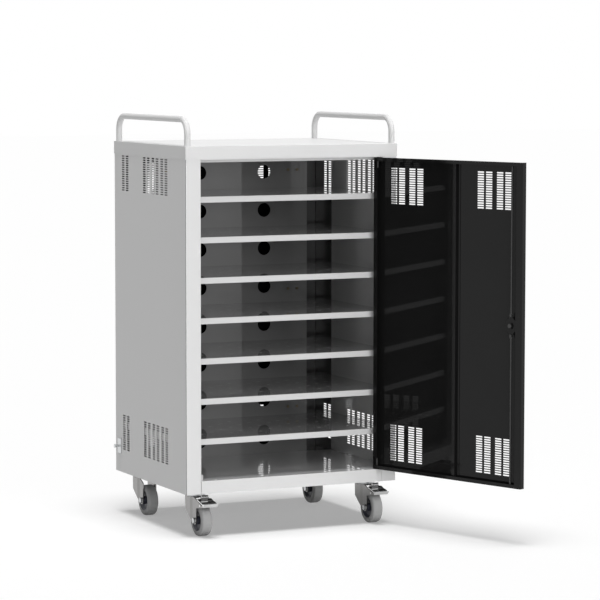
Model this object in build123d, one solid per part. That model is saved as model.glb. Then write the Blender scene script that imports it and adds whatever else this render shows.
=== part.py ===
# Laptop storage cart: a sheet steel cabinet on four casters, with a slotted front door standing
# open, a slotted rear door, seven shelves, a rear cable wall and a two-rod lock on the front door.
# Millimetres. +Z is up, +X is to the right seen from the front, +Y is to the back.
# The origin is on the floor under the middle of the cabinet.
import os
from math import acos, atan2, cos, hypot, sin

from build123d import *

os.makedirs("parts", exist_ok=True)

# Cabinet
body_width = 558.0
body_depth = 453.0
body_height = 796.0
caster_height = 105.0
sheet = 1.2
bend = 2.0
post_width = 39.0
post_depth = 16.0
panel_top_flange = 14.0
seam = 0.2

# Top cap
cap_overhang = 1.0
cap_height = 31.5

# Base and top rails
rail_height = 30.8
rail_return = 12.0
top_strip = 6.6
top_rail_return = 10.0
strip_clearance = 2.4

# Caster channels under the floor
channel_width = 72.0
channel_wall = 2.0

# Shelves
shelf_count = 7
shelf_pitch = 96.4
first_shelf_drop = 89.4
shelf_lip = 14.0
shelf_setback = 25.0
shelf_side_gap = 0.3
ear_from_rear = 45.0
ear_gap = 1.5

# Rear cable wall
wall_from_rear = 96.0
wall_width = 415.0
wall_flange = 12.0
wall_gap = 0.5
cable_hole_diameter = 35.0
cable_hole_offset = 88.0
cable_hole_above_shelf = 41.0

# Power strips behind the cable wall
strip_offset = 167.0
strip_width = 46.0
strip_depth = 34.0
strip_length = 640.0
strip_above_floor = 235.0
strip_corner = 5.0
strip_screw_gap = 25.4
strip_screw_ends = 18.0
socket_count = 8
socket_pitch = 70.0
socket_radius = 17.0
socket_sides = 12
socket_recess = 9.0
screw_radius = 2.0
screw_clearance = 0.1
screw_head_radius = 3.6
screw_head_height = 2.2
screw_head_sides = 12
screw_bite = 8.0

# Vent slots
slot_height = 3.3
slot_pitch = 5.6
slot_rows = 16
slot_column_pitch = 25.6
door_slot_length = 20.0
door_group_offset = 138.2
door_pair_pitch = 59.2
door_slots_from_end = 68.0

# Doors
door_open_angle = 110.0
hinge_gap = 3.2
lock_gap = 5.8
door_bottom_gap = 0.7
door_top_gap = 2.1
door_thickness = 16.0
hinge_lip = 12.0
lock_lip = 18.5
end_lip = 8.5
pan_radius = 3.0
pin_inset = 6.0
pin_depth = 6.6
pin_radius = 2.5
pin_clearance = 0.08
pin_length = 34.0
pin_reach = 9.0
pin_window_width = 8.0
pin_window_height = 22.0
collar_radius = 4.2
stiffener_at = 255.4
stiffener_crown = 9.0
stiffener_flange = 9.0
stiffener_height = 7.0

# Rod lock of the front door
rod_inset = 35.5
rod_depth = 9.8
rod_radius = 2.5
rod_clearance = 0.1
strike_clearance = 1.0
foot_width = 8.0
foot_thickness = 2.4
foot_clearance = 0.1
foot_start = 7.5
foot_end = 29.0
stud_offset = 24.3
stud_radius = 3.0
stud_height = 2.0
case_width = 32.0
case_height = 41.0
case_depth = 12.0
case_corner = 11.0
case_edge = 1.5
spindle_radius = 5.0
spindle_clearance = 0.05
nut_radius = 8.0
nut_thickness = 3.4
turning_gap = 0.3
plate_width = 34.0
plate_height = 92.0
plate_thickness = 6.0
plate_edge = 1.5
lever_length = 74.0
lever_width = 18.0
lever_thickness = 8.0
lever_edge = 2.5
lever_boss_radius = 14.0
lever_boss_height = 10.0

# Cam lock of the rear door
barrel_inset = 30.0
barrel_radius = 9.0
barrel_length = 18.5
barrel_head_radius = 12.0
barrel_head_thickness = 3.0
plug_radius = 6.0
plug_clearance = 0.05
tongue_reach = 44.0
tongue_width = 14.0
tongue_thickness = 2.5
key_slot = (1.6, 7.0, 2.0)

# Push handles
handle_tube = 15.0
handle_height = 70.0
handle_bend = 35.0
handle_side_inset = 10.0
handle_end_inset = 12.0
handle_screw_radius = 3.5
handle_screw_clearance = 0.15
handle_head_radius = 6.0
handle_head_height = 4.0

# Cord hook on the left side and the rubber stop of the door
hook_from_rear = 29.0
hook_height = 170.0
hook_plate = (2.0, 22.0, 37.0)
hook_stem_radius = 3.0
hook_stem_length = 8.0
hook_knob_radius = 5.5
hook_knob_length = 4.6
stop_width = 11.0
stop_depth = 8.0
stop_height = 13.0
stop_edge = 2.0

# Casters
wheel_diameter = 76.0
wheel_width = 26.5
caster_trail = 36.0
caster_side_inset = 51.0
front_caster_inset = 65.0
rear_caster_inset = 54.0
plate_size = (66.0, 62.0, 3.0)
bolt_spacing = (50.0, 44.0)
bolt_head_radius = 5.5
bolt_head_height = 4.0
race_radius = 23.0
race_height = 8.2
kingpin_radius = 6.0
kingpin_head_radius = 10.0
crown_radius = 23.0
kingpin_head_height = 3.0
kingpin_clearance = 0.08
swivel_gap = 0.4
crown_thickness = 3.0
leg_thickness = 2.5
leg_gap = 2.4
leg_rear = 14.5
leg_knee_height = 62.0
leg_front = 33.0
leg_shoulder = 12.0
leg_boss_radius = 9.5
leg_step = 3.0
leg_step_at = 15.0
leg_step_run = 8.0
arm_reach = 82.0
arm_tip_height = 74.6
arm_tip_depth = 3.0
arm_root_height = 69.0
tread_thickness = 12.0
tread_width = 17.0
tread_drop = 1.2
shoulder_width = 23.0
shoulder_drop = 4.5
axle_radius = 4.0
axle_clearance = 0.06
axle_head_radius = 7.0
axle_head_thickness = 4.5
hub_side_gap = 0.3
hub_boss_radius = 10.0
hub_web = 14.0
hub_rim = 5.0

# Brake pedals of the front casters
pedal_pin_at = (66.0, 77.5)
pedal_pin_radius = 3.0
pedal_boss_radius = 5.5
pedal_side_gap = 0.6
pedal_slope = 13.0
pedal_width = 37.0
pedal_depth = 33.4
pedal_thickness = 2.5
pedal_rise = 10.0
pedal_web = 10.0
lip_reach = 10.0
lip_rise = 3.2
lip_drop = 7.3
lip_back = 3.7
pad_length = 11.5
pad_height = 1.2
pad_edge = 0.8
tab_size = (17.5, 3.0, 10.0)

# Places worked out from the sizes above
body_bottom = caster_height
body_top = caster_height + body_height
front = -body_depth / 2
rear = body_depth / 2
side = body_width / 2
opening_half = side - post_width
rail_half = opening_half - seam
floor_half = side - sheet - seam
floor_top = body_bottom + rail_height
cap_top = body_top + cap_height
cap_side = side + cap_overhang
cap_end = body_depth / 2 + cap_overhang
strip_offset_depth = door_thickness + strip_clearance
wall_face = rear - wall_from_rear
shelf_front = front + shelf_setback
shelf_half = side - sheet - shelf_side_gap
door_width = 2 * opening_half - hinge_gap - lock_gap
door_bottom = floor_top + door_bottom_gap
door_height = body_top - door_top_gap - door_bottom
pivot_x = opening_half - hinge_gap - pin_inset
lock_x = door_width - rod_inset
lock_level = door_height / 2
case_face = sheet + case_depth
handle_x = cap_side - handle_side_inset
handle_y = cap_end - handle_end_inset
wheel_radius = wheel_diameter / 2
plate_bottom = caster_height - plate_size[2]
crown_top = plate_bottom - race_height - swivel_gap
crown_bottom = crown_top - crown_thickness
leg_inner = wheel_width / 2 + leg_gap
leg_outer = leg_inner + leg_thickness

low_end = (Align.CENTER, Align.CENTER, Align.MIN)


def block(x0, x1, y0, y1, z0, z1):
    """A box between two corners."""
    centre = ((x0 + x1) / 2, (y0 + y1) / 2, (z0 + z1) / 2)
    return Pos(*centre) * Box(abs(x1 - x0), abs(y1 - y0), abs(z1 - z0))


def upright(radius, x, y, bottom, top):
    """A round bar or bore along Z."""
    return Pos(x, y, bottom) * Cylinder(radius, top - bottom, align=low_end)


def crosswise(radius, y, z, x0, x1):
    """A round bar or bore along X."""
    return Pos((x0 + x1) / 2, y, z) * Rot(0, 90, 0) * Cylinder(radius, abs(x1 - x0))


def through_door(radius, x, z, y0, y1):
    """A round bar or bore along Y."""
    return Pos(x, (y0 + y1) / 2, z) * Rot(90, 0, 0) * Cylinder(radius, abs(y1 - y0))


def slot_cutters(middles, level, length):
    """Rows of slots for a sheet in the XZ plane, two columns about each middle line."""
    rows = [level + (row - (slot_rows - 1) / 2) * slot_pitch for row in range(slot_rows)]
    columns = [middle + half * slot_column_pitch for middle in middles for half in (-0.5, 0.5)]
    cutter = Box(length, 4 * sheet, slot_height)
    return [Pos(column, 0, row) * cutter for column in columns for row in rows]


def front_pin():
    """The front door's pivot line."""
    return pivot_x, front + pin_depth


def rear_pin():
    """The rear door's pivot line, the same turned half round."""
    return -pivot_x, rear - pin_depth


def front_rod():
    """The line of the lock rods when the front door is shut."""
    return pivot_x + pin_inset - lock_x, front + rod_depth


def side_panel(hand):
    """One side: the wall, its front and rear posts and a top flange, folded from one sheet."""
    half = sheet / 2
    wall = side - half
    jamb = opening_half + half
    points = [(jamb, front + post_depth), (jamb, front + half), (wall, front + half),
              (wall, rear - half), (jamb, rear - half), (jamb, rear - post_depth)]
    fold = trace(FilletPolyline(*points, radius=bend), line_width=sheet)
    panel = Pos(0, 0, body_bottom) * extrude(fold, body_height)
    reach = body_depth / 2 - post_depth - rail_return
    panel += block(wall - panel_top_flange, wall, -reach, reach, body_top - sheet, body_top)
    return panel if hand > 0 else mirror(panel, Plane.YZ)


def base_pan():
    """The floor, with its front and rear rails between the posts."""
    inner = body_depth / 2 - post_depth - 2 * seam
    outer = body_depth / 2
    pan = block(-floor_half, floor_half, -inner, inner, floor_top - sheet, floor_top)
    pan += block(-rail_half, rail_half, -outer, outer, floor_top - sheet, floor_top)
    for face in (-1, 1):
        edge = face * outer
        pan += block(-rail_half, rail_half, edge, edge - face * sheet, body_bottom, floor_top)
        pan += block(-rail_half, rail_half, edge, edge - face * rail_return,
                     body_bottom, body_bottom + sheet)
    return pan - pivot_and_strike_holes((-1, 1), floor_top - 2 * sheet, floor_top + sheet)


def pivot_and_strike_holes(faces, bottom, top):
    """Bores for the door pins and for the lock rod, between two levels."""
    holes = []
    if -1 in faces:
        holes.append(upright(pin_radius + pin_clearance, *front_pin(), bottom, top))
        holes.append(upright(rod_radius + strike_clearance, *front_rod(), bottom, top))
    if 1 in faces:
        holes.append(upright(pin_radius + pin_clearance, *rear_pin(), bottom, top))
    return holes


def top_rail(face):
    """A rail under the cap: a flat top with a channel that the shut door meets."""
    outer = face * body_depth / 2
    strip = outer - face * strip_offset_depth
    low = body_top - sheet - top_strip
    rail = block(-rail_half, rail_half, outer, strip, body_top - sheet, body_top)
    rail += block(-rail_half, rail_half, strip, strip - face * sheet, low, body_top)
    rail += block(-rail_half, rail_half, strip, strip - face * top_rail_return, low, low + sheet)
    return rail - pivot_and_strike_holes((face,), body_top - 2 * sheet, body_top + sheet)


def top_cap():
    """The lid: a shallow box, open below, that stands on the side panels' top edges."""
    lid = block(-cap_side, cap_side, -cap_end, cap_end, body_top, cap_top)
    lid = fillet(lid.edges().filter_by(Axis.Z), bend)
    lid = fillet(lid.edges().group_by(Axis.Z)[-1], sheet)
    lid -= block(sheet - cap_side, cap_side - sheet, sheet - cap_end, cap_end - sheet,
                 body_top - sheet, cap_top - sheet)
    for hand in (-1, 1):
        lid += block(hand * (opening_half + sheet), hand * (cap_side - sheet / 2),
                     sheet / 2 - cap_end, cap_end - sheet / 2, body_top, body_top + sheet)
        for end in (-1, 1):
            lid -= upright(handle_screw_radius + handle_screw_clearance, hand * handle_x,
                           end * handle_y, cap_top - 2 * sheet, cap_top + sheet)
    return lid


def push_handle(hand):
    """A bent tube, closed at its feet, that stands on the cap along one side."""
    top = cap_top + handle_height - handle_tube / 2
    path = FilletPolyline((0, -handle_y, cap_top), (0, -handle_y, top), (0, handle_y, top),
                          (0, handle_y, cap_top), radius=handle_bend)
    section = Plane(origin=(0, -handle_y, cap_top), z_dir=(0, 0, 1)) * Circle(handle_tube / 2)
    return Pos(hand * handle_x, 0, 0) * sweep(section, path)


def handle_screws():
    """Four six-sided screws from below, two for each handle."""
    screws = []
    seat = cap_top - sheet
    for hand in (-1, 1):
        for end in (-1, 1):
            place = (hand * handle_x, end * handle_y)
            head = extrude(RegularPolygon(handle_head_radius, 6), handle_head_height)
            head = Pos(*place, seat - handle_head_height) * head
            screws.append(head + upright(handle_screw_radius, *place, seat - sheet, cap_top))
    return Compound(children=screws)


def caster_channel(face):
    """A hat channel under the floor, to which a pair of caster plates is bolted."""
    middle = face * (body_depth / 2 - (front_caster_inset if face < 0 else rear_caster_inset))
    half = channel_width / 2
    top = floor_top - sheet
    channel = block(-floor_half, floor_half, middle - half, middle + half, body_bottom, top)
    channel -= block(-side, side, middle - half + channel_wall, middle + half - channel_wall,
                     body_bottom + channel_wall, top + sheet)
    return channel


def shelf_top(number):
    """The level of a shelf, counted down from the top, or of the floor after the last."""
    if number > shelf_count:
        return floor_top
    return body_top - first_shelf_drop - (number - 1) * shelf_pitch


def shelf(number):
    """A shelf pan: a front lip, side flanges and two rear ears beside the cable wall."""
    top = shelf_top(number)
    low = top - shelf_lip
    back = wall_face - wall_gap
    end = rear - ear_from_rear
    pan = block(-shelf_half, shelf_half, shelf_front, back, low, top)
    pan -= block(sheet - shelf_half, shelf_half - sheet, shelf_front + sheet, back - sheet,
                 low - sheet, top - sheet)
    pan += block(-shelf_half, shelf_half, shelf_front, shelf_front + rail_return, low, low + sheet)
    for hand in (-1, 1):
        inner = hand * (wall_width / 2 + ear_gap)
        outer = hand * shelf_half
        pan += block(inner, outer, back - sheet, end, top - sheet, top)
        pan += block(outer - hand * sheet, outer, back - sheet, end, low, top)
        pan += block(inner, outer, end - sheet, end, low, top)
    return pan


def strip_screw_places():
    """Where the power strips are screwed to the cable wall, as X and Z."""
    low = strip_above_floor + strip_screw_ends
    high = strip_above_floor + strip_length - strip_screw_ends
    return [(hand * strip_offset + step * strip_screw_gap, level)
            for hand in (-1, 1) for level in (low, (low + high) / 2, high) for step in (-0.5, 0.5)]


def cable_wall():
    """The wall behind the shelves, with two cable holes on each level."""
    top = body_top - sheet - top_strip
    half = wall_width / 2
    wall = block(-half, half, wall_face, wall_face + sheet, floor_top, top)
    wall += block(-half, half, wall_face, wall_face + wall_flange, floor_top, floor_top + sheet)
    for hand in (-1, 1):
        wall += block(hand * half, hand * (half - sheet), wall_face, wall_face + wall_flange,
                      floor_top, top)
    near = wall_face - sheet
    far = wall_face + 2 * sheet
    for number in range(1, shelf_count + 2):
        level = shelf_top(number) + cable_hole_above_shelf
        for hand in (-1, 1):
            wall -= through_door(cable_hole_diameter / 2, hand * cable_hole_offset, level, near, far)
    holes = [through_door(screw_radius + screw_clearance, *place, near, far)
             for place in strip_screw_places()]
    return wall - holes


def strip_screws():
    """Pan head screws through the cable wall into the power strips."""
    screws = []
    for place in strip_screw_places():
        x, z = place
        head = extrude(RegularPolygon(screw_head_radius, screw_head_sides), screw_head_height)
        head = Pos(x, wall_face, z) * Rot(90, 0, 0) * head
        screws.append(head + through_door(screw_radius, *place, wall_face,
                                          wall_face + sheet + screw_bite))
    return Compound(children=screws)


def power_strips():
    """Two strips of sockets behind the cable wall, which face the rear door."""
    strips = []
    near = wall_face + sheet
    for hand in (-1, 1):
        middle = hand * strip_offset
        strip = block(middle - strip_width / 2, middle + strip_width / 2, near, near + strip_depth,
                      strip_above_floor, strip_above_floor + strip_length)
        strip = fillet(strip.edges().filter_by(Axis.Z), strip_corner)
        for number in range(socket_count):
            level = strip_above_floor + strip_length / 2
            level += (number - (socket_count - 1) / 2) * socket_pitch
            socket = extrude(RegularPolygon(socket_radius, socket_sides), socket_recess + sheet)
            strip -= Pos(middle, near + strip_depth - socket_recess, level) * Rot(-90, 0, 0) * socket
        for place in strip_screw_places():
            strip -= through_door(screw_radius + screw_clearance, *place, near,
                                  near + screw_bite + sheet)
        strips.append(strip)
    return Compound(children=strips)


def door_pan():
    """A door in its own frame: X from its hinge edge, Y inwards from its face, Z from its foot."""
    pan = block(0, door_width, 0, door_thickness, 0, door_height)
    pan = fillet(pan.edges().filter_by(Axis.Z), pan_radius)
    pan -= block(sheet, door_width - sheet, sheet, door_thickness - sheet, sheet,
                 door_height - sheet)
    pan -= block(hinge_lip, door_width - lock_lip, door_thickness / 2, door_thickness + sheet,
                 end_lip, door_height - end_lip)
    for end, inward in ((0, 1), (door_height, -1)):
        pan -= upright(pin_radius + pin_clearance, pin_inset, pin_depth, end - 2 * sheet,
                       end + 2 * sheet)
        window = end + inward * (end_lip + pin_window_height / 2)
        pan -= Pos(pin_inset, door_thickness, window) * Box(pin_window_width, 4 * sheet,
                                                            pin_window_height)
    middles = [door_width / 2 + group * door_group_offset + step * door_pair_pitch
               for group in (-1, 1) for step in (-0.5, 0.5)]
    for level in (door_slots_from_end, door_height - door_slots_from_end):
        pan -= slot_cutters(middles, level, door_slot_length)
    return pan


def front_door_pan():
    """The front door, with holes for its rods and its lock spindle."""
    pan = door_pan()
    for end in (0, door_height):
        pan -= upright(rod_radius + rod_clearance, lock_x, rod_depth, end - 2 * sheet,
                       end + 2 * sheet)
    return pan - through_door(spindle_radius + spindle_clearance, lock_x, lock_level,
                              -sheet, 2 * sheet)


def rear_door_pan():
    """The rear door, with a hole for its cam lock."""
    return door_pan() - through_door(barrel_radius, door_width - barrel_inset, lock_level,
                                     -sheet, 2 * sheet)


def hang_front(piece):
    """Put a piece of the front door in its place, with the door standing open."""
    shut = Pos(pivot_x + pin_inset, front, door_bottom) * mirror(piece, Plane.YZ)
    x, y = front_pin()
    return Pos(x, y, 0) * Rot(0, 0, door_open_angle) * Pos(-x, -y, 0) * shut


def hang_rear(piece):
    """Put a piece of the rear door in its place, with the door shut."""
    turned = Rot(0, 0, 180) * mirror(piece, Plane.YZ)
    return Pos(-pivot_x - pin_inset, rear, door_bottom) * turned


def door_pins():
    """A door's two pivot pins, which reach into the rail above and the floor below."""
    pins = []
    for end, inward in ((0, 1), (door_height, -1)):
        tip = end - inward * pin_reach
        root = tip + inward * pin_length
        collar = end + inward * sheet
        pin = upright(pin_radius, pin_inset, pin_depth, min(tip, root), max(tip, root))
        pin += upright(collar_radius, pin_inset, pin_depth, min(collar, collar + inward * sheet),
                       max(collar, collar + inward * sheet))
        pins.append(pin)
    return Compound(children=pins)


def stiffener():
    """A hat channel inside a door skin, from end to end."""
    half_crown = (stiffener_crown - sheet) / 2
    half_all = stiffener_crown / 2 + stiffener_flange
    crown = stiffener_height - sheet / 2
    outline = Polyline((-half_all, sheet / 2), (-half_crown, sheet / 2), (-half_crown, crown),
                       (half_crown, crown), (half_crown, sheet / 2), (half_all, sheet / 2))
    hat = extrude(trace(outline, line_width=sheet), door_height - 2 * sheet - 2 * seam)
    return Pos(stiffener_at, sheet, sheet + seam) * hat


def lock_case():
    """The eight-sided case behind the door skin, bored for the spindle, slotted for the rods."""
    outline = chamfer(Rectangle(case_width, case_height).vertices(), case_corner)
    case = extrude(outline, case_depth)
    case = chamfer(case.edges().group_by(Axis.Z)[-1], case_edge)
    case = Pos(lock_x, sheet, lock_level) * Rot(-90, 0, 0) * case
    case -= through_door(spindle_radius + spindle_clearance, lock_x, lock_level, 0, case_face + sheet)
    half_width = foot_width / 2 + foot_clearance
    half_thick = foot_thickness / 2 + foot_clearance
    for way in (-1, 1):
        case -= block(lock_x - half_width, lock_x + half_width, rod_depth - half_thick,
                      rod_depth + half_thick, lock_level + way * (foot_start - foot_clearance),
                      lock_level + way * case_height)
    return case


def lock_rod(way):
    """One lock rod, drawn in: a flat foot in the case, a stud, and a round bar to the door's end."""
    foot = block(lock_x - foot_width / 2, lock_x + foot_width / 2, rod_depth - foot_thickness / 2,
                 rod_depth + foot_thickness / 2, lock_level + way * foot_start,
                 lock_level + way * foot_end)
    level = lock_level + way * stud_offset
    stud = through_door(stud_radius, lock_x, level, rod_depth,
                        rod_depth + foot_thickness / 2 + stud_height)
    root = lock_level + way * (foot_end - foot_width / 4)
    tip = door_height if way > 0 else 0
    bar = upright(rod_radius, lock_x, rod_depth, min(root, tip), max(root, tip))
    return foot + stud + bar


def lock_plate():
    """The oval plate under the lever, outside the door."""
    plate = extrude(SlotOverall(plate_height, plate_width, rotation=90), plate_thickness)
    plate = chamfer(plate.edges().group_by(Axis.Z)[-1], plate_edge)
    plate = Pos(lock_x, 0, lock_level) * Rot(90, 0, 0) * plate
    return plate - through_door(spindle_radius + spindle_clearance, lock_x, lock_level,
                                -2 * plate_thickness, sheet)


def lock_lever():
    """The lever with its boss and spindle. With the rods drawn in it points at the hinge side."""
    boss = Cylinder(lever_boss_radius, lever_boss_height, align=low_end)
    arm = extrude(SlotOverall(lever_length, lever_width), lever_thickness)
    arm = chamfer(arm.edges().group_by(Axis.Z)[-1], lever_edge)
    arm = Pos((lever_width - lever_length) / 2, 0, lever_boss_height) * arm
    grip = Pos(lock_x, -plate_thickness - turning_gap, lock_level) * Rot(90, 0, 0) * (boss + arm)
    inner_end = case_face + turning_gap + nut_thickness
    return grip + through_door(spindle_radius, lock_x, lock_level,
                               -plate_thickness - lever_boss_height / 2, inner_end)


def lock_nut():
    """The six-sided nut on the inner end of the spindle."""
    nut = extrude(RegularPolygon(nut_radius, 6), nut_thickness)
    nut = Pos(lock_x, case_face + turning_gap, lock_level) * Rot(-90, 0, 0) * nut
    return nut - through_door(spindle_radius + spindle_clearance, lock_x, lock_level,
                              case_face, case_face + 2 * nut_thickness)


def rear_lock_barrel():
    """The round body of the rear door's cam lock."""
    x = door_width - barrel_inset
    barrel = through_door(barrel_radius - seam / 4, x, lock_level, -seam, barrel_length)
    barrel += through_door(barrel_head_radius, x, lock_level, -barrel_head_thickness, 0)
    return barrel - through_door(plug_radius + plug_clearance, x, lock_level,
                                 -2 * barrel_head_thickness, 2 * barrel_length)


def rear_lock_tongue():
    """The key plug and its tongue, which hangs down when unlocked."""
    x = door_width - barrel_inset
    start = barrel_length + turning_gap
    plug = through_door(plug_radius, x, lock_level, -barrel_head_thickness, start)
    wide, tall, deep = key_slot
    plug -= block(x - wide / 2, x + wide / 2, -barrel_head_thickness - sheet,
                  deep - barrel_head_thickness, lock_level - tall / 2, lock_level + tall / 2)
    blade = extrude(SlotOverall(tongue_reach + tongue_width / 2, tongue_width, rotation=90),
                    tongue_thickness)
    drop = (tongue_reach - tongue_width / 2) / 2
    return plug + Pos(x, start, lock_level - drop) * Rot(-90, 0, 0) * blade


def cord_hook():
    """A plate on the left side with a stem and a round knob for winding the mains cord."""
    thick, wide, tall = hook_plate
    y = rear - hook_from_rear
    hook = block(-side, -side - thick, y - wide / 2, y + wide / 2, hook_height - tall / 2,
                 hook_height + tall / 2)
    stem_end = -side - thick - hook_stem_length
    hook += crosswise(hook_stem_radius, y, hook_height, -side - thick, stem_end)
    knob = Cone(hook_stem_radius, hook_knob_radius, hook_knob_length, align=low_end)
    return hook + Pos(stem_end, y, hook_height) * Rot(0, -90, 0) * knob


def door_stop():
    """The rubber block in the lower left corner of the opening, behind the shut door."""
    y = front + door_thickness + sheet / 2
    stop = block(-opening_half, stop_width - opening_half, y, y + stop_depth, floor_top,
                 floor_top + stop_height)
    return fillet(stop.edges().filter_by(Axis.Y).sort_by(Axis.Z)[-2:], stop_edge)


def caster_places():
    """Each caster's name, with the X and Y of its swivel line."""
    x = side - caster_side_inset
    y_front = front + front_caster_inset
    y_rear = rear - rear_caster_inset
    return {"front_left": (-x, y_front), "front_right": (x, y_front),
            "rear_left": (-x, y_rear), "rear_right": (x, y_rear)}


def caster_plate():
    """The top plate with its bearing ring and king pin, about the swivel line."""
    wide, long, thick = plate_size
    plate = block(-wide / 2, wide / 2, -long / 2, long / 2, plate_bottom, plate_bottom + thick)
    ring = upright(race_radius, 0, 0, plate_bottom - race_height, plate_bottom)
    pin_end = crown_bottom - swivel_gap
    pin = upright(kingpin_radius, 0, 0, pin_end, plate_bottom)
    head = extrude(RegularPolygon(kingpin_head_radius, 6), kingpin_head_height)
    return plate + ring + pin + Pos(0, 0, pin_end - kingpin_head_height) * head


def caster_bolts():
    """The bolt heads under the caster plates, four to a caster."""
    bolts = []
    for x, y in caster_places().values():
        for along in (-0.5, 0.5):
            for across in (-0.5, 0.5):
                head = extrude(RegularPolygon(bolt_head_radius, 6), bolt_head_height)
                bolts.append(Pos(x + along * bolt_spacing[0], y + across * bolt_spacing[1],
                                 plate_bottom - bolt_head_height) * head)
    return Compound(children=bolts)


def leg_outline(braked):
    """A fork leg seen from the side, as Y and Z: a slanted rear edge and a round foot."""
    axle = (-caster_trail, wheel_radius)
    knee = (leg_rear - leg_thickness / 2, leg_knee_height)
    away = hypot(knee[0] - axle[0], knee[1] - axle[1])
    turn = atan2(knee[1] - axle[1], knee[0] - axle[0]) - acos(leg_boss_radius / away)
    tangent = (axle[0] + leg_boss_radius * cos(turn), axle[1] + leg_boss_radius * sin(turn))
    front_edge = axle[0] - leg_boss_radius
    points = [(leg_rear, crown_top), knee, tangent, axle, (front_edge, axle[1])]
    if braked:
        points += [(front_edge, arm_root_height), (-arm_reach, arm_tip_height),
                   (-arm_reach, arm_tip_height + arm_tip_depth), (-leg_front, crown_top)]
    else:
        points += [(front_edge, crown_top - leg_shoulder), (leg_shoulder - leg_front, crown_top)]
    return make_face(Polyline(*points, close=True)) + Pos(*axle) * Circle(leg_boss_radius)


def fork_leg(hand, braked):
    """One leg of a fork, with the step outwards of its rear part."""
    near = leg_inner + leg_thickness / 2
    far = near + leg_step
    plan = Polyline((far, leg_rear), (far, -leg_step_at), (near, -leg_step_at - leg_step_run),
                    (near, -arm_reach - leg_thickness))
    bar = extrude(trace(plan, line_width=leg_thickness), crown_top)
    profile = extrude(Plane.YZ * leg_outline(braked), 2 * far)
    leg = bar & profile
    return leg if hand > 0 else mirror(leg, Plane.YZ)


def caster_fork(braked):
    """The swivelling fork about its swivel line: a crown, two stepped legs and a brake arm."""
    crown = upright(crown_radius, 0, 0, crown_bottom, crown_top)
    crown += block(-leg_inner - leg_thickness / 2, leg_inner + leg_thickness / 2,
                   leg_shoulder - leg_front, 0, crown_bottom, crown_top)
    fork = crown + fork_leg(-1, braked) + fork_leg(1, braked)
    fork -= upright(kingpin_radius + kingpin_clearance, 0, 0, crown_bottom - sheet,
                    crown_top + sheet)
    fork -= crosswise(axle_radius + axle_clearance, -caster_trail, wheel_radius,
                      -2 * leg_outer, 2 * leg_outer)
    if braked:
        pin_y, pin_z = pedal_pin_at
        fork -= crosswise(pedal_pin_radius + pin_clearance, -pin_y, pin_z,
                          -2 * leg_outer, 2 * leg_outer)
    return fork


def caster_axle():
    """The axle bolt, with a six-sided head at each end."""
    place = (-caster_trail, wheel_radius)
    axle = crosswise(axle_radius, *place, -leg_outer, leg_outer)
    for hand in (-1, 1):
        head = extrude(RegularPolygon(axle_head_radius, 6), axle_head_thickness)
        axle += Pos(hand * leg_outer, *place) * Rot(0, hand * 90, 0) * head
    return axle


def caster_hub():
    """The wheel's core: a boss, two dished sides and a rim, turned about the axle."""
    rim = wheel_radius - tread_thickness
    bore = axle_radius + axle_clearance
    boss = leg_inner - hub_side_gap
    half = wheel_width / 2 - hub_side_gap
    web = hub_web / 2
    points = [(-boss, bore), (boss, bore), (boss, hub_boss_radius), (web, hub_boss_radius),
              (web, rim - hub_rim), (half, rim), (-half, rim), (-web, rim - hub_rim),
              (-web, hub_boss_radius), (-boss, hub_boss_radius)]
    hub = revolve(make_face(Polyline(*points, close=True)), Axis.X)
    return Pos(0, -caster_trail, wheel_radius) * hub


def caster_tyre():
    """The grey tyre on the core, turned from a flat tread with two bevels at each shoulder."""
    rim = wheel_radius - tread_thickness
    half = wheel_width / 2
    right = [(half, rim), (half, wheel_radius - shoulder_drop),
             (shoulder_width / 2, wheel_radius - tread_drop), (tread_width / 2, wheel_radius)]
    left = [(-x, radius) for x, radius in reversed(right)]
    tyre = revolve(make_face(Polyline(*right, *left, close=True)), Axis.X)
    return Pos(0, -caster_trail, wheel_radius) * tyre


def brake_pedal():
    """The foot pedal over the brake arms: a sloping plate with a folded lip and two pads, a tab
    behind, and a boss between the arms with its pin."""
    half = pedal_width / 2
    back = pedal_depth / 2
    under = pedal_rise - pedal_thickness
    outline = [(back, pedal_rise), (-back, pedal_rise), (-back - lip_reach, pedal_rise + lip_rise),
               (-back - lip_back, pedal_rise - lip_drop), (-back, under - pedal_thickness),
               (-back, under), (back, under)]
    plate = extrude(Plane.YZ * make_face(Polyline(*outline, close=True)), half, both=True)
    for start in (back - pad_length, pad_edge - back):
        plate += block(pad_edge - half, half - pad_edge, start, start + pad_length - pad_edge,
                       pedal_rise, pedal_rise + pad_height)
    wide, thick, tall = tab_size
    plate += block(-wide / 2, wide / 2, back - thick, back, under, pedal_rise + tall)
    between = leg_inner - pedal_side_gap
    plate += block(-between, between, -pedal_web / 2, pedal_web / 2, 0, pedal_rise)
    plate = Rot(pedal_slope, 0, 0) * plate
    pedal = plate + crosswise(pedal_boss_radius, 0, 0, -between, between)
    pedal += crosswise(pedal_pin_radius, 0, 0, -leg_outer, leg_outer)
    return Pos(0, -pedal_pin_at[0], pedal_pin_at[1]) * pedal


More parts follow.
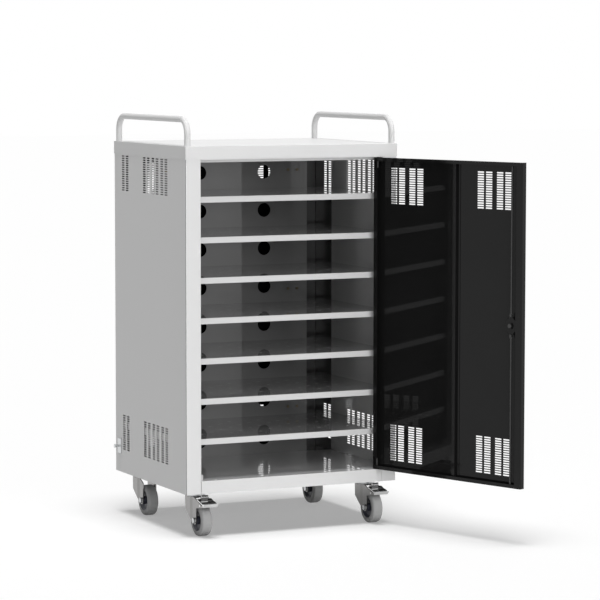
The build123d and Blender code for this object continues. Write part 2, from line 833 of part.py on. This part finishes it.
parts = {
    "side_panel_left": side_panel(-1),
    "side_panel_right": side_panel(1),
    "base_pan": base_pan(),
    "top_rail_front": top_rail(-1),
    "top_rail_rear": top_rail(1),
    "top_cap": top_cap(),
    "caster_channel_front": caster_channel(-1),
    "caster_channel_rear": caster_channel(1),
    "cable_wall": cable_wall(),
    "handle_left": push_handle(-1),
    "handle_right": push_handle(1),
    "handle_screws": handle_screws(),
    "power_strips": power_strips(),
    "strip_screws": strip_screws(),
    "cord_hook": cord_hook(),
    "door_stop": door_stop(),
    "caster_bolts": caster_bolts(),
    "front_door": hang_front(front_door_pan()),
    "front_door_stiffener": hang_front(stiffener()),
    "front_door_pins": hang_front(door_pins()),
    "lock_case": hang_front(lock_case()),
    "lock_plate": hang_front(lock_plate()),
    "lock_lever": hang_front(lock_lever()),
    "lock_nut": hang_front(lock_nut()),
    "upper_rod": hang_front(lock_rod(1)),
    "lower_rod": hang_front(lock_rod(-1)),
    "rear_door": hang_rear(rear_door_pan()),
    "rear_door_stiffener": hang_rear(stiffener()),
    "rear_door_pins": hang_rear(door_pins()),
    "rear_lock_barrel": hang_rear(rear_lock_barrel()),
    "rear_lock_tongue": hang_rear(rear_lock_tongue()),
}
for number in range(1, shelf_count + 1):
    parts["shelf_" + str(number)] = shelf(number)
for name, place in caster_places().items():
    braked = name.startswith("front")
    parts["caster_plate_" + name] = Pos(*place) * caster_plate()
    parts["caster_fork_" + name] = Pos(*place) * caster_fork(braked)
    parts["caster_axle_" + name] = Pos(*place) * caster_axle()
    parts["caster_hub_" + name] = Pos(*place) * caster_hub()
    parts["caster_tyre_" + name] = Pos(*place) * caster_tyre()
    if braked:
        parts["brake_pedal_" + name.split("_")[1]] = Pos(*place) * brake_pedal()

for name, piece in parts.items():
    export_step(piece, "parts/" + name + ".step")
print(len(parts), "pieces")
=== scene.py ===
from math import cos, radians, sin

import bmesh
import bpy
from mathutils import Matrix, Vector


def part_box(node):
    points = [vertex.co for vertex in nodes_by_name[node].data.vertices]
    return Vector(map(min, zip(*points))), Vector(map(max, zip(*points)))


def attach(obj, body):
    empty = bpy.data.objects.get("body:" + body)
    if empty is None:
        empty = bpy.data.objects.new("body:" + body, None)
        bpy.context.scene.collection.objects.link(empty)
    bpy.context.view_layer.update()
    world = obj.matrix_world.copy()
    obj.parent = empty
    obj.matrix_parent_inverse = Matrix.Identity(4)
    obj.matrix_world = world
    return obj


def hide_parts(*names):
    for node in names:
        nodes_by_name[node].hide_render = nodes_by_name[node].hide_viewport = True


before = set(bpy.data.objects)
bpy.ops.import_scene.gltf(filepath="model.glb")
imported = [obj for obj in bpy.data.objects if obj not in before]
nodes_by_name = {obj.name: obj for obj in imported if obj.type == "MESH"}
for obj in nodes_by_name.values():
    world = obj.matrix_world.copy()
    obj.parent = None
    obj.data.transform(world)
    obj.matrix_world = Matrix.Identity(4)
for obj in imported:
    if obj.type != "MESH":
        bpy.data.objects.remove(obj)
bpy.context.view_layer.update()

caster_names = ("front_left", "front_right", "rear_left", "rear_right")
shelf_names = ["shelf_" + str(number) for number in range(1, 8)]

# The cabinet's own places, read from the solids, and its sheet
panel_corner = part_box("side_panel_left")[0]
side = -panel_corner.x
body_front = panel_corner.y
body_bottom = panel_corner.z
wall_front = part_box("cable_wall")[0].y
sheet = 0.0012

# Side vents: paired columns of slots in a lower and an upper group, measured from the body's
# front and from its bottom
slot_length = 0.0168
slot_height = 0.0033
slot_pitch = 0.0056
slot_rows = 16
slot_columns = 2
slot_column_pitch = 0.0256
side_pairs_from_front = (0.133, 0.1885, 0.244, 0.381)
side_group_heights = (0.102, 0.7495)

# Shelf vents: ovals on a grid of columns and rows, and on a smaller grid in its gaps. The oval is
# given by the length, width and depth of its punch, the first row from the shelf's front edge
vent_oval = (0.010, 0.004, 0.006)
vent_sides = 12
vent_column_pitch = 0.079
vent_row_pitch = 0.063
vent_first_row = 0.074
vent_grids = ((6, 4), (5, 3))

# Brake pedal: its pin, its slope, and the part of the tread that its two pads take
plate_low, plate_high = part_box("caster_plate_front_left")
pedal_pin_reach = 0.066
pedal_pin_y = (plate_low.y + plate_high.y) / 2 - pedal_pin_reach
pedal_pin_z = 0.0775
pedal_slope = radians(13)
pad_foot = 0.01008
pad_top = 0.0114
pad_reach = 0.0162

# Where the outside's grey paint ends: how deep in a side wall, as a share of the sheet, and how
# far behind the body's front on the posts and on the shelves' lips
paint_share = 0.05
post_paint_end = 0.0008
lip_paint_end = 0.0254
no_side_limit = 1.0

# Painted shade: the sheet inside is darkened in the slots, up to this share of the sheet, and
# behind the cable wall, where shade falls
slot_wall_share = 0.95
painted_shade_factor = 0.15

# Roughness of the grey paint and of the sheet inside
paint_roughness = 0.38
inner_roughness = 0.25
inner_coat_roughness = 0.02

# Grain of each kind of finish
paint_grain = {"scale": 900, "height": 0.00002, "strength": 1.0}
plating_grain = {"scale": 260, "height": 0.00003, "strength": 0.4}
moulded_grain = {"scale": 700, "height": 0.00006, "strength": 0.6}

# Slow change of tone across a piece
paint_drift = {"spread": 0.015, "scale": 6}
dark_drift = {"spread": 0.1, "scale": 4}

# Camera, fitted to the cabinet's edges in the photograph
image_size = 600
focal_pixels = 2789.3
sensor_width = 36
camera_place = Vector((-2.8535, -6.2575, 1.1531))
camera_yaw = radians(25.465)
camera_pitch = radians(5.079)
camera_roll = radians(0.053)
camera_far = 100

# Studio: two wide lamps, whose azimuths are measured from the front, the sky and the floor
overhead_light = {"elevation": radians(84), "azimuth": radians(-30), "strength": 2.6,
                  "width": radians(26)}
front_light = {"elevation": radians(12), "azimuth": radians(4), "strength": 3.1,
               "width": radians(70)}
sky_strength = 0.11
floor_glow = 0.31
floor_colour = 0.73
floor_half = 30.0


def new_material(name):
    """An empty node material with its output."""
    material = bpy.data.materials.new(name)
    material.use_nodes = True
    tree = material.node_tree
    tree.nodes.clear()
    output = tree.nodes.new("ShaderNodeOutputMaterial")
    return material, tree, output


def join(tree, source, target):
    tree.links.new(source, target)


def joined_node(tree, kind, links):
    """A new node whose inputs, by name, are joined to sockets of other nodes."""
    node = tree.nodes.new(kind)
    for name, source in links.items():
        join(tree, source, node.inputs[name])
    return node


def maths(tree, operation, one, other=0.0):
    """A math node of two values, each a socket or a number."""
    node = tree.nodes.new("ShaderNodeMath")
    node.operation = operation
    for value, socket in zip((one, other), node.inputs):
        if isinstance(value, (int, float)):
            socket.default_value = value
        else:
            join(tree, value, socket)
    return node.outputs[0]


def grey(value):
    return (value, value, value)


def principled(tree, output, colour, roughness, metallic=0.0, coat=0.0, coat_roughness=0.03):
    shader = tree.nodes.new("ShaderNodeBsdfPrincipled")
    shader.inputs["Base Color"].default_value = (*colour, 1)
    shader.inputs["Roughness"].default_value = roughness
    shader.inputs["Metallic"].default_value = metallic
    shader.inputs["Coat Weight"].default_value = coat
    shader.inputs["Coat Roughness"].default_value = coat_roughness
    join(tree, shader.outputs[0], output.inputs["Surface"])
    return shader


def mixed(tree, output, mask, plain, masked):
    """The plain shader, and the masked one where the mask is one."""
    mix = tree.nodes.new("ShaderNodeMixShader")
    join(tree, mask, mix.inputs["Fac"])
    join(tree, plain.outputs[0], mix.inputs[1])
    join(tree, masked.outputs[0], mix.inputs[2])
    join(tree, mix.outputs[0], output.inputs["Surface"])


def object_place(tree):
    """The place on the piece, in metres."""
    return tree.nodes.new("ShaderNodeTexCoord").outputs["Object"]


def place_parts(tree):
    """The sockets X, Y and Z of the place on the piece."""
    return joined_node(tree, "ShaderNodeSeparateXYZ", {"Vector": object_place(tree)}).outputs


def noise_on(tree, scale, detail=2):
    """Noise fixed to the piece."""
    noise = joined_node(tree, "ShaderNodeTexNoise", {"Vector": object_place(tree)})
    noise.inputs["Scale"].default_value = scale
    noise.inputs["Detail"].default_value = detail
    return noise.outputs["Fac"]


def two_tones(tree, factor, first, second, start=0.0, end=1.0):
    """A ramp from one grey to another."""
    ramp = joined_node(tree, "ShaderNodeValToRGB", {"Fac": factor})
    for element, position, value in zip(ramp.color_ramp.elements, (start, end), (first, second)):
        element.position = position
        element.color = (*grey(value), 1)
    return ramp.outputs["Color"]


def fine_bump(tree, shader, scale, height, strength):
    """A fine grain in the surface."""
    bump = joined_node(tree, "ShaderNodeBump", {"Height": noise_on(tree, scale, detail=3)})
    bump.inputs["Strength"].default_value = strength
    bump.inputs["Distance"].default_value = height
    join(tree, bump.outputs[0], shader.inputs["Normal"])


def drifting_tone(tree, shader, value, spread, scale):
    """A slow change of tone across the piece."""
    tone = two_tones(tree, noise_on(tree, scale), value * (1 - spread), value * (1 + spread),
                     start=0.3, end=0.7)
    join(tree, tone, shader.inputs["Base Color"])


def grey_paint(name, value):
    """Matt powder coat."""
    material, tree, output = new_material(name)
    shader = principled(tree, output, grey(value), paint_roughness)
    drifting_tone(tree, shader, value, **paint_drift)
    fine_bump(tree, shader, **paint_grain)
    return material


def inside_mask(tree, place, half_width, front_edge):
    """One between the two side limits, and between the front edge and its mirror at the rear."""
    between_sides = maths(tree, "LESS_THAN", maths(tree, "ABSOLUTE", place["X"]), half_width)
    behind = maths(tree, "GREATER_THAN", place["Y"], front_edge)
    before = maths(tree, "LESS_THAN", place["Y"], -front_edge)
    return maths(tree, "MULTIPLY", between_sides, maths(tree, "MULTIPLY", behind, before))


def two_tone_sheet(name, outside, inside, front_edge, half_width):
    """Grey paint outside, glossy graphite inside, with painted shade darkening it in the slots
    and behind the wall.
    """
    material, tree, output = new_material(name)
    place = place_parts(tree)
    paint = principled(tree, output, grey(outside), paint_roughness)
    fine_bump(tree, paint, **paint_grain)
    gloss = principled(tree, output, grey(inside), inner_roughness, coat=1.0,
                       coat_roughness=inner_coat_roughness)
    in_slot = maths(tree, "GREATER_THAN", maths(tree, "ABSOLUTE", place["X"]),
                    side - sheet * slot_wall_share)
    behind_wall = maths(tree, "GREATER_THAN", place["Y"], wall_front)
    painted_shade_mask = maths(tree, "MAXIMUM", in_slot, behind_wall)
    # Painted shade: the inside grey is darkened in the slots and behind the cable wall
    join(tree, two_tones(tree, painted_shade_mask, inside, inside * painted_shade_factor), gloss.inputs["Base Color"])
    mixed(tree, output, inside_mask(tree, place, half_width, front_edge), paint, gloss)
    return material


def graphite_paint(name, value, roughness=0.3, coat_roughness=0.015):
    """Dark paint under a clear coat."""
    material, tree, output = new_material(name)
    shader = principled(tree, output, grey(value), roughness, coat=1.0,
                        coat_roughness=coat_roughness)
    drifting_tone(tree, shader, value, **dark_drift)
    return material


def satin_black(name, value, roughness, ior):
    """Near-black paint that mirrors the more, the higher its refractive index is."""
    material, tree, output = new_material(name)
    shader = principled(tree, output, grey(value), roughness)
    shader.inputs["IOR"].default_value = ior
    drifting_tone(tree, shader, value, **dark_drift)
    return material


def plated(name, value, roughness, tint=(1.0, 1.0, 1.0)):
    """Plated or bare metal."""
    material, tree, output = new_material(name)
    colour = tuple(value * part for part in tint)
    shader = principled(tree, output, colour, roughness, metallic=1.0)
    fine_bump(tree, shader, **plating_grain)
    return material


def pedal_plating(name, metal_value, pad_value, roughness):
    """Bright plating with two glossy black pads, which stand just proud of the tread plate."""
    material, tree, output = new_material(name)
    metal = principled(tree, output, grey(metal_value), roughness, metallic=1.0)
    pad = principled(tree, output, grey(pad_value), roughness)
    fine_bump(tree, metal, **plating_grain)
    place = place_parts(tree)
    forward = maths(tree, "SUBTRACT", place["Y"], pedal_pin_y)
    upward = maths(tree, "SUBTRACT", place["Z"], pedal_pin_z)
    along = maths(tree, "ADD", maths(tree, "MULTIPLY", forward, cos(pedal_slope)),
                  maths(tree, "MULTIPLY", upward, sin(pedal_slope)))
    rise = maths(tree, "SUBTRACT", maths(tree, "MULTIPLY", upward, cos(pedal_slope)),
                 maths(tree, "MULTIPLY", forward, sin(pedal_slope)))
    proud = maths(tree, "MULTIPLY", maths(tree, "GREATER_THAN", rise, pad_foot),
                  maths(tree, "LESS_THAN", rise, pad_top))
    on_tread = maths(tree, "LESS_THAN", maths(tree, "ABSOLUTE", along), pad_reach)
    mixed(tree, output, maths(tree, "MULTIPLY", proud, on_tread), metal, pad)
    return material


def moulded(name, colour, roughness):
    """Moulded plastic or rubber."""
    material, tree, output = new_material(name)
    shader = principled(tree, output, colour, roughness)
    fine_bump(tree, shader, **moulded_grain)
    return material


def dress(material, *names):
    """Give solids a finish."""
    for name in names:
        for slot in nodes_by_name[name].material_slots:
            slot.material = material


body_paint = grey_paint("body grey paint", 0.63)
cabinet_sheet = two_tone_sheet("cabinet sheet", outside=0.63, inside=0.64,
                               front_edge=body_front + post_paint_end,
                               half_width=side - sheet * paint_share)
# Painted shade: the shelves' lips take a grey below the body's paint, standing for the shade that
# falls on them inside the opening
shelf_sheet_painted_shade_lips = two_tone_sheet("shelf sheet", outside=0.58, inside=0.36,
                             front_edge=body_front + lip_paint_end, half_width=no_side_limit)
inner_graphite = graphite_paint("inner graphite", 0.18)
door_graphite = satin_black("door graphite", 0.009, roughness=0.012, ior=1.26)
rod_steel = satin_black("dark rod steel", 0.03, roughness=0.25, ior=1.5)
zinc = plated("zinc plating", 0.62, roughness=0.28, tint=(0.97, 0.99, 1.0))
chrome = plated("bright plating", 0.70, roughness=0.12)
# Painted reflection: the forks' plating is darkened to stand for the darker surroundings that the
# plating would mirror
fork_plating_painted_dark = plated("fork plating", 0.28, roughness=0.20, tint=(1.0, 0.985, 0.97))
screw_brass = plated("screw brass", 0.22, roughness=0.35, tint=(1.0, 0.85, 0.6))
pedal_steel = pedal_plating("pedal plating and pads", metal_value=0.70, pad_value=0.012,
                            roughness=0.12)
tyre_rubber = moulded("grey tyre rubber", grey(0.32), roughness=0.6)
core_plastic = moulded("dark wheel core", (0.035, 0.037, 0.05), roughness=0.35)
strip_plastic = moulded("black strip plastic", grey(0.02), roughness=0.5)
stop_rubber = moulded("pale stop rubber", grey(0.45), roughness=0.6)

dress(body_paint, "top_cap", "handle_left", "handle_right")
dress(cabinet_sheet, "base_pan", "top_rail_front", "top_rail_rear", "side_panel_left",
      "side_panel_right")
dress(shelf_sheet_painted_shade_lips, *shelf_names)
dress(inner_graphite, "cable_wall", "caster_channel_front", "caster_channel_rear")
dress(door_graphite, "front_door", "rear_door", "front_door_stiffener", "rear_door_stiffener",
      "lock_case", "lock_nut")
dress(rod_steel, "upper_rod", "lower_rod", "front_door_pins", "rear_door_pins", "lock_lever")
dress(zinc, "handle_screws", "cord_hook", "caster_bolts", "rear_lock_tongue")
dress(screw_brass, "strip_screws")
dress(chrome, "lock_plate", "rear_lock_barrel")
dress(pedal_steel, "brake_pedal_left", "brake_pedal_right")
dress(strip_plastic, "power_strips")
dress(stop_rubber, "door_stop")
for caster_name in caster_names:
    dress(zinc, "caster_plate_" + caster_name, "caster_axle_" + caster_name)
    dress(fork_plating_painted_dark, "caster_fork_" + caster_name)
    dress(tyre_rubber, "caster_tyre_" + caster_name)
    dress(core_plastic, "caster_hub_" + caster_name)


def pattern_sockets(tree):
    """The values that a punched pattern takes: the sheet, the punch, the grid and the finish."""
    face = tree.interface
    face.new_socket("Geometry", in_out="INPUT", socket_type="NodeSocketGeometry")
    for label, kind in (("Sheet", "Object"), ("Punch", "Object"), ("Columns", "Int"),
                        ("Rows", "Int"), ("Column Pitch", "Float"), ("Row Pitch", "Float"),
                        ("Turn", "Vector"), ("Finish", "Material")):
        face.new_socket(label, in_out="INPUT", socket_type="NodeSocket" + kind)
    face.new_socket("Geometry", in_out="OUTPUT", socket_type="NodeSocketGeometry")


def grid_points(tree, given):
    """The turned grid of one block of holes."""
    def length_of(count, pitch):
        return maths(tree, "MULTIPLY", maths(tree, "SUBTRACT", given[count], 1), given[pitch])

    grid = joined_node(tree, "GeometryNodeMeshGrid", {
        "Vertices X": given["Columns"], "Vertices Y": given["Rows"],
        "Size X": length_of("Columns", "Column Pitch"),
        "Size Y": length_of("Rows", "Row Pitch")})
    turned = joined_node(tree, "GeometryNodeTransform", {
        "Geometry": grid.outputs["Mesh"], "Rotation": given["Turn"]})
    return turned.outputs["Geometry"]


def copies_at(tree, points, thing):
    """A copy of the thing at each point."""
    copies = joined_node(tree, "GeometryNodeInstanceOnPoints", {
        "Points": points, "Instance": thing})
    return copies.outputs["Instances"]


def shape_of(tree, thing):
    """The mesh of an object that the pattern is given."""
    return joined_node(tree, "GeometryNodeObjectInfo", {"Object": thing}).outputs["Geometry"]


def made_real(tree, shape):
    return joined_node(tree, "GeometryNodeRealizeInstances", {
        "Geometry": shape}).outputs["Geometry"]


def punching_tree():
    """A block of punched holes at each point of the input mesh, cut from a sheet."""
    tree = bpy.data.node_groups.new("punched pattern", "GeometryNodeTree")
    pattern_sockets(tree)
    given = tree.nodes.new("NodeGroupInput").outputs
    block = copies_at(tree, grid_points(tree, given), shape_of(tree, given["Punch"]))
    cutters = made_real(tree, copies_at(tree, given["Geometry"], block))
    cut = tree.nodes.new("GeometryNodeMeshBoolean")
    cut.operation = "DIFFERENCE"
    cut.solver = "EXACT"
    join(tree, shape_of(tree, given["Sheet"]), cut.inputs["Mesh 1"])
    join(tree, cutters, cut.inputs["Mesh 2"])
    finished = joined_node(tree, "GeometryNodeSetMaterial", {
        "Geometry": made_real(tree, cut.outputs["Mesh"]), "Material": given["Finish"]})
    joined_node(tree, "NodeGroupOutput", {"Geometry": finished.outputs["Geometry"]})
    return tree


def loose_object(name, data):
    thing = bpy.data.objects.new(name, data)
    bpy.context.collection.objects.link(thing)
    return thing


def plain_mesh(name, points, faces=()):
    mesh = bpy.data.meshes.new(name)
    mesh.from_pydata(points, [], faces)
    return mesh


def merged_copy(node, reach=1e-6):
    """A copy of a solid's mesh with its loose triangles merged."""
    mesh = nodes_by_name[node].data.copy()
    shape = bmesh.new()
    shape.from_mesh(mesh)
    bmesh.ops.remove_doubles(shape, verts=shape.verts, dist=reach)
    shape.to_mesh(mesh)
    shape.free()
    return mesh


def sized_mesh(name, extent, make, **options):
    """A mesh that a bmesh operator makes one wide, scaled to its extent."""
    mesh = bpy.data.meshes.new(name)
    shape = bmesh.new()
    make(shape, **options)
    bmesh.ops.scale(shape, vec=extent, verts=shape.verts)
    shape.to_mesh(mesh)
    shape.free()
    return mesh


def box_punch(extent):
    """A box centred on its own origin."""
    return sized_mesh("slot_punch", extent, bmesh.ops.create_cube, size=1.0)


def oval_punch(extent):
    """An upright oval plug centred on its own origin."""
    return sized_mesh("oval_punch", extent, bmesh.ops.create_cone, cap_ends=True,
                      segments=vent_sides, radius1=0.5, radius2=0.5, depth=1)


def punched(name, tree, blank, centres, punch_mesh, finish, **pattern):
    """The blank mesh with its holes punched round the centres."""
    source = loose_object(name + "_blank", blank)
    punch = loose_object(name + "_punch", punch_mesh)
    maker = loose_object(name + "_maker", plain_mesh(name + "_centres", centres))
    modifier = maker.modifiers.new("punched pattern", "NODES")
    modifier.node_group = tree
    socket = {item.name: item.identifier for item in tree.interface.items_tree
              if item.in_out == "INPUT"}
    values = {"Sheet": source, "Punch": punch, "Finish": finish, **pattern}
    for label, value in values.items():
        modifier[socket[label]] = value
    scene_graph = bpy.context.evaluated_depsgraph_get()
    mesh = bpy.data.meshes.new_from_object(maker.evaluated_get(scene_graph))
    for helper in (maker, source, punch):
        bpy.data.objects.remove(helper)
    return mesh


def stand_for(node, mesh):
    """The punched mesh rides on the cabinet in place of the plain solid."""
    piece = loose_object(node + "_punched", mesh)
    mesh.name = node + "_punched"
    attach(piece, "cabinet")
    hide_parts(node)


def side_vents(tree, node, hand):
    """The side panel with its eight blocks of slots. The hand is -1 on the left and 1 on the
    right."""
    centres = [(hand * (side - sheet / 2), body_front + pair, body_bottom + level)
               for pair in side_pairs_from_front for level in side_group_heights]
    pattern = {"Columns": slot_columns, "Rows": slot_rows, "Column Pitch": slot_column_pitch,
               "Row Pitch": slot_pitch, "Turn": (radians(90), 0.0, radians(90))}
    punch = box_punch((4 * sheet, slot_length, slot_height))
    stand_for(node, punched(node, tree, merged_copy(node), centres, punch, cabinet_sheet,
                            **pattern))


def shelf_vents(tree, node):
    """The shelf with its staggered ovals."""
    low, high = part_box(node)
    first_grid_rows = vent_grids[0][1]
    middle = low.y + vent_first_row + (first_grid_rows - 1) / 2 * vent_row_pitch
    centre = (0, middle, high.z - sheet / 2)
    pattern = {"Column Pitch": vent_column_pitch, "Row Pitch": vent_row_pitch,
               "Turn": (0.0, 0.0, 0.0)}
    mesh = merged_copy(node)
    for columns, rows in vent_grids:
        mesh = punched(node, tree, mesh, [centre], oval_punch(vent_oval), shelf_sheet_painted_shade_lips,
                       Columns=columns, Rows=rows, **pattern)
    stand_for(node, mesh)


def seen_rays(tree):
    """One for the rays of the camera and of mirrors and glass."""
    rays = tree.nodes.new("ShaderNodeLightPath").outputs
    direct = maths(tree, "MAXIMUM", rays["Is Camera Ray"], rays["Is Glossy Ray"])
    return maths(tree, "MAXIMUM", direct, rays["Is Transmission Ray"])


def floor_finish():
    """Pale matt paint, lifted by a glow where it is seen, so that it ends in white."""
    material, tree, output = new_material("studio floor")
    diffuse = tree.nodes.new("ShaderNodeBsdfDiffuse")
    diffuse.inputs["Color"].default_value = (*grey(floor_colour), 1)
    glow = joined_node(tree, "ShaderNodeEmission", {
        "Strength": maths(tree, "MULTIPLY", seen_rays(tree), floor_glow)})
    both = tree.nodes.new("ShaderNodeAddShader")
    join(tree, diffuse.outputs[0], both.inputs[0])
    join(tree, glow.outputs[0], both.inputs[1])
    join(tree, both.outputs[0], output.inputs["Surface"])
    return material


def make_floor():
    """A wide pale floor that keeps the cart's shadow."""
    corners = [(x * floor_half, y * floor_half, 0)
               for x, y in ((-1, -1), (1, -1), (1, 1), (-1, 1))]
    mesh = plain_mesh("studio_floor", corners, [(0, 1, 2, 3)])
    mesh.materials.append(floor_finish())
    floor = loose_object("studio_floor", mesh)
    return floor


def soft_light(name, elevation, azimuth, strength, width):
    """A wide soft light. Glossy sheet mirrors the white sky and not the lamp's disc."""
    lamp = bpy.data.lights.new(name, "SUN")
    lamp.energy = strength
    lamp.angle = width
    light = loose_object(name, lamp)
    toward = Vector((sin(azimuth) * cos(elevation), -cos(azimuth) * cos(elevation),
                     sin(elevation)))
    light.rotation_mode = "QUATERNION"
    light.rotation_quaternion = toward.to_track_quat("Z", "Y")
    light.visible_glossy = False
    return light


def keep_off(light, thing):
    """The light doesn't fall on the thing: the floor keeps its shadow from overhead."""
    left_out = bpy.data.collections.new("not lit by " + light.name)
    left_out.objects.link(thing)
    light.light_linking.receiver_collection = left_out
    left_out.collection_objects[0].light_linking.link_state = "EXCLUDE"


def white_background(tree, strength):
    shader = tree.nodes.new("ShaderNodeBackground")
    shader.inputs["Color"].default_value = (1, 1, 1, 1)
    shader.inputs["Strength"].default_value = strength
    return shader


def make_sky():
    """An even studio sky. Where it is seen itself, it is white."""
    world = bpy.data.worlds.new("studio sky")
    world.use_nodes = True
    tree = world.node_tree
    tree.nodes.clear()
    output = tree.nodes.new("ShaderNodeOutputWorld")
    mixed(tree, output, seen_rays(tree), white_background(tree, sky_strength),
          white_background(tree, 1.0))
    bpy.context.scene.world = world


def make_camera():
    """The photograph's view."""
    forward = Vector((sin(camera_yaw) * cos(camera_pitch), cos(camera_yaw) * cos(camera_pitch),
                      -sin(camera_pitch)))
    level = Vector((cos(camera_yaw), -sin(camera_yaw), 0))
    up = level.cross(forward)
    right = level * cos(camera_roll) + up * sin(camera_roll)
    top = up * cos(camera_roll) - level * sin(camera_roll)
    lens = bpy.data.cameras.new("camera")
    lens.sensor_width = sensor_width
    lens.lens = sensor_width * focal_pixels / image_size
    lens.clip_end = camera_far
    camera = loose_object("camera", lens)
    turn = Matrix((right, top, -forward)).transposed()
    camera.matrix_world = Matrix.Translation(camera_place) @ turn.to_4x4()
    bpy.context.scene.camera = camera


punching = punching_tree()
side_vents(punching, "side_panel_left", -1)
side_vents(punching, "side_panel_right", 1)
for shelf_name in shelf_names:
    shelf_vents(punching, shelf_name)
studio_floor = make_floor()
soft_light("overhead light", **overhead_light)
keep_off(soft_light("front light", **front_light), studio_floor)
make_sky()
make_camera()
bpy.context.scene.view_settings.view_transform = "Standard"
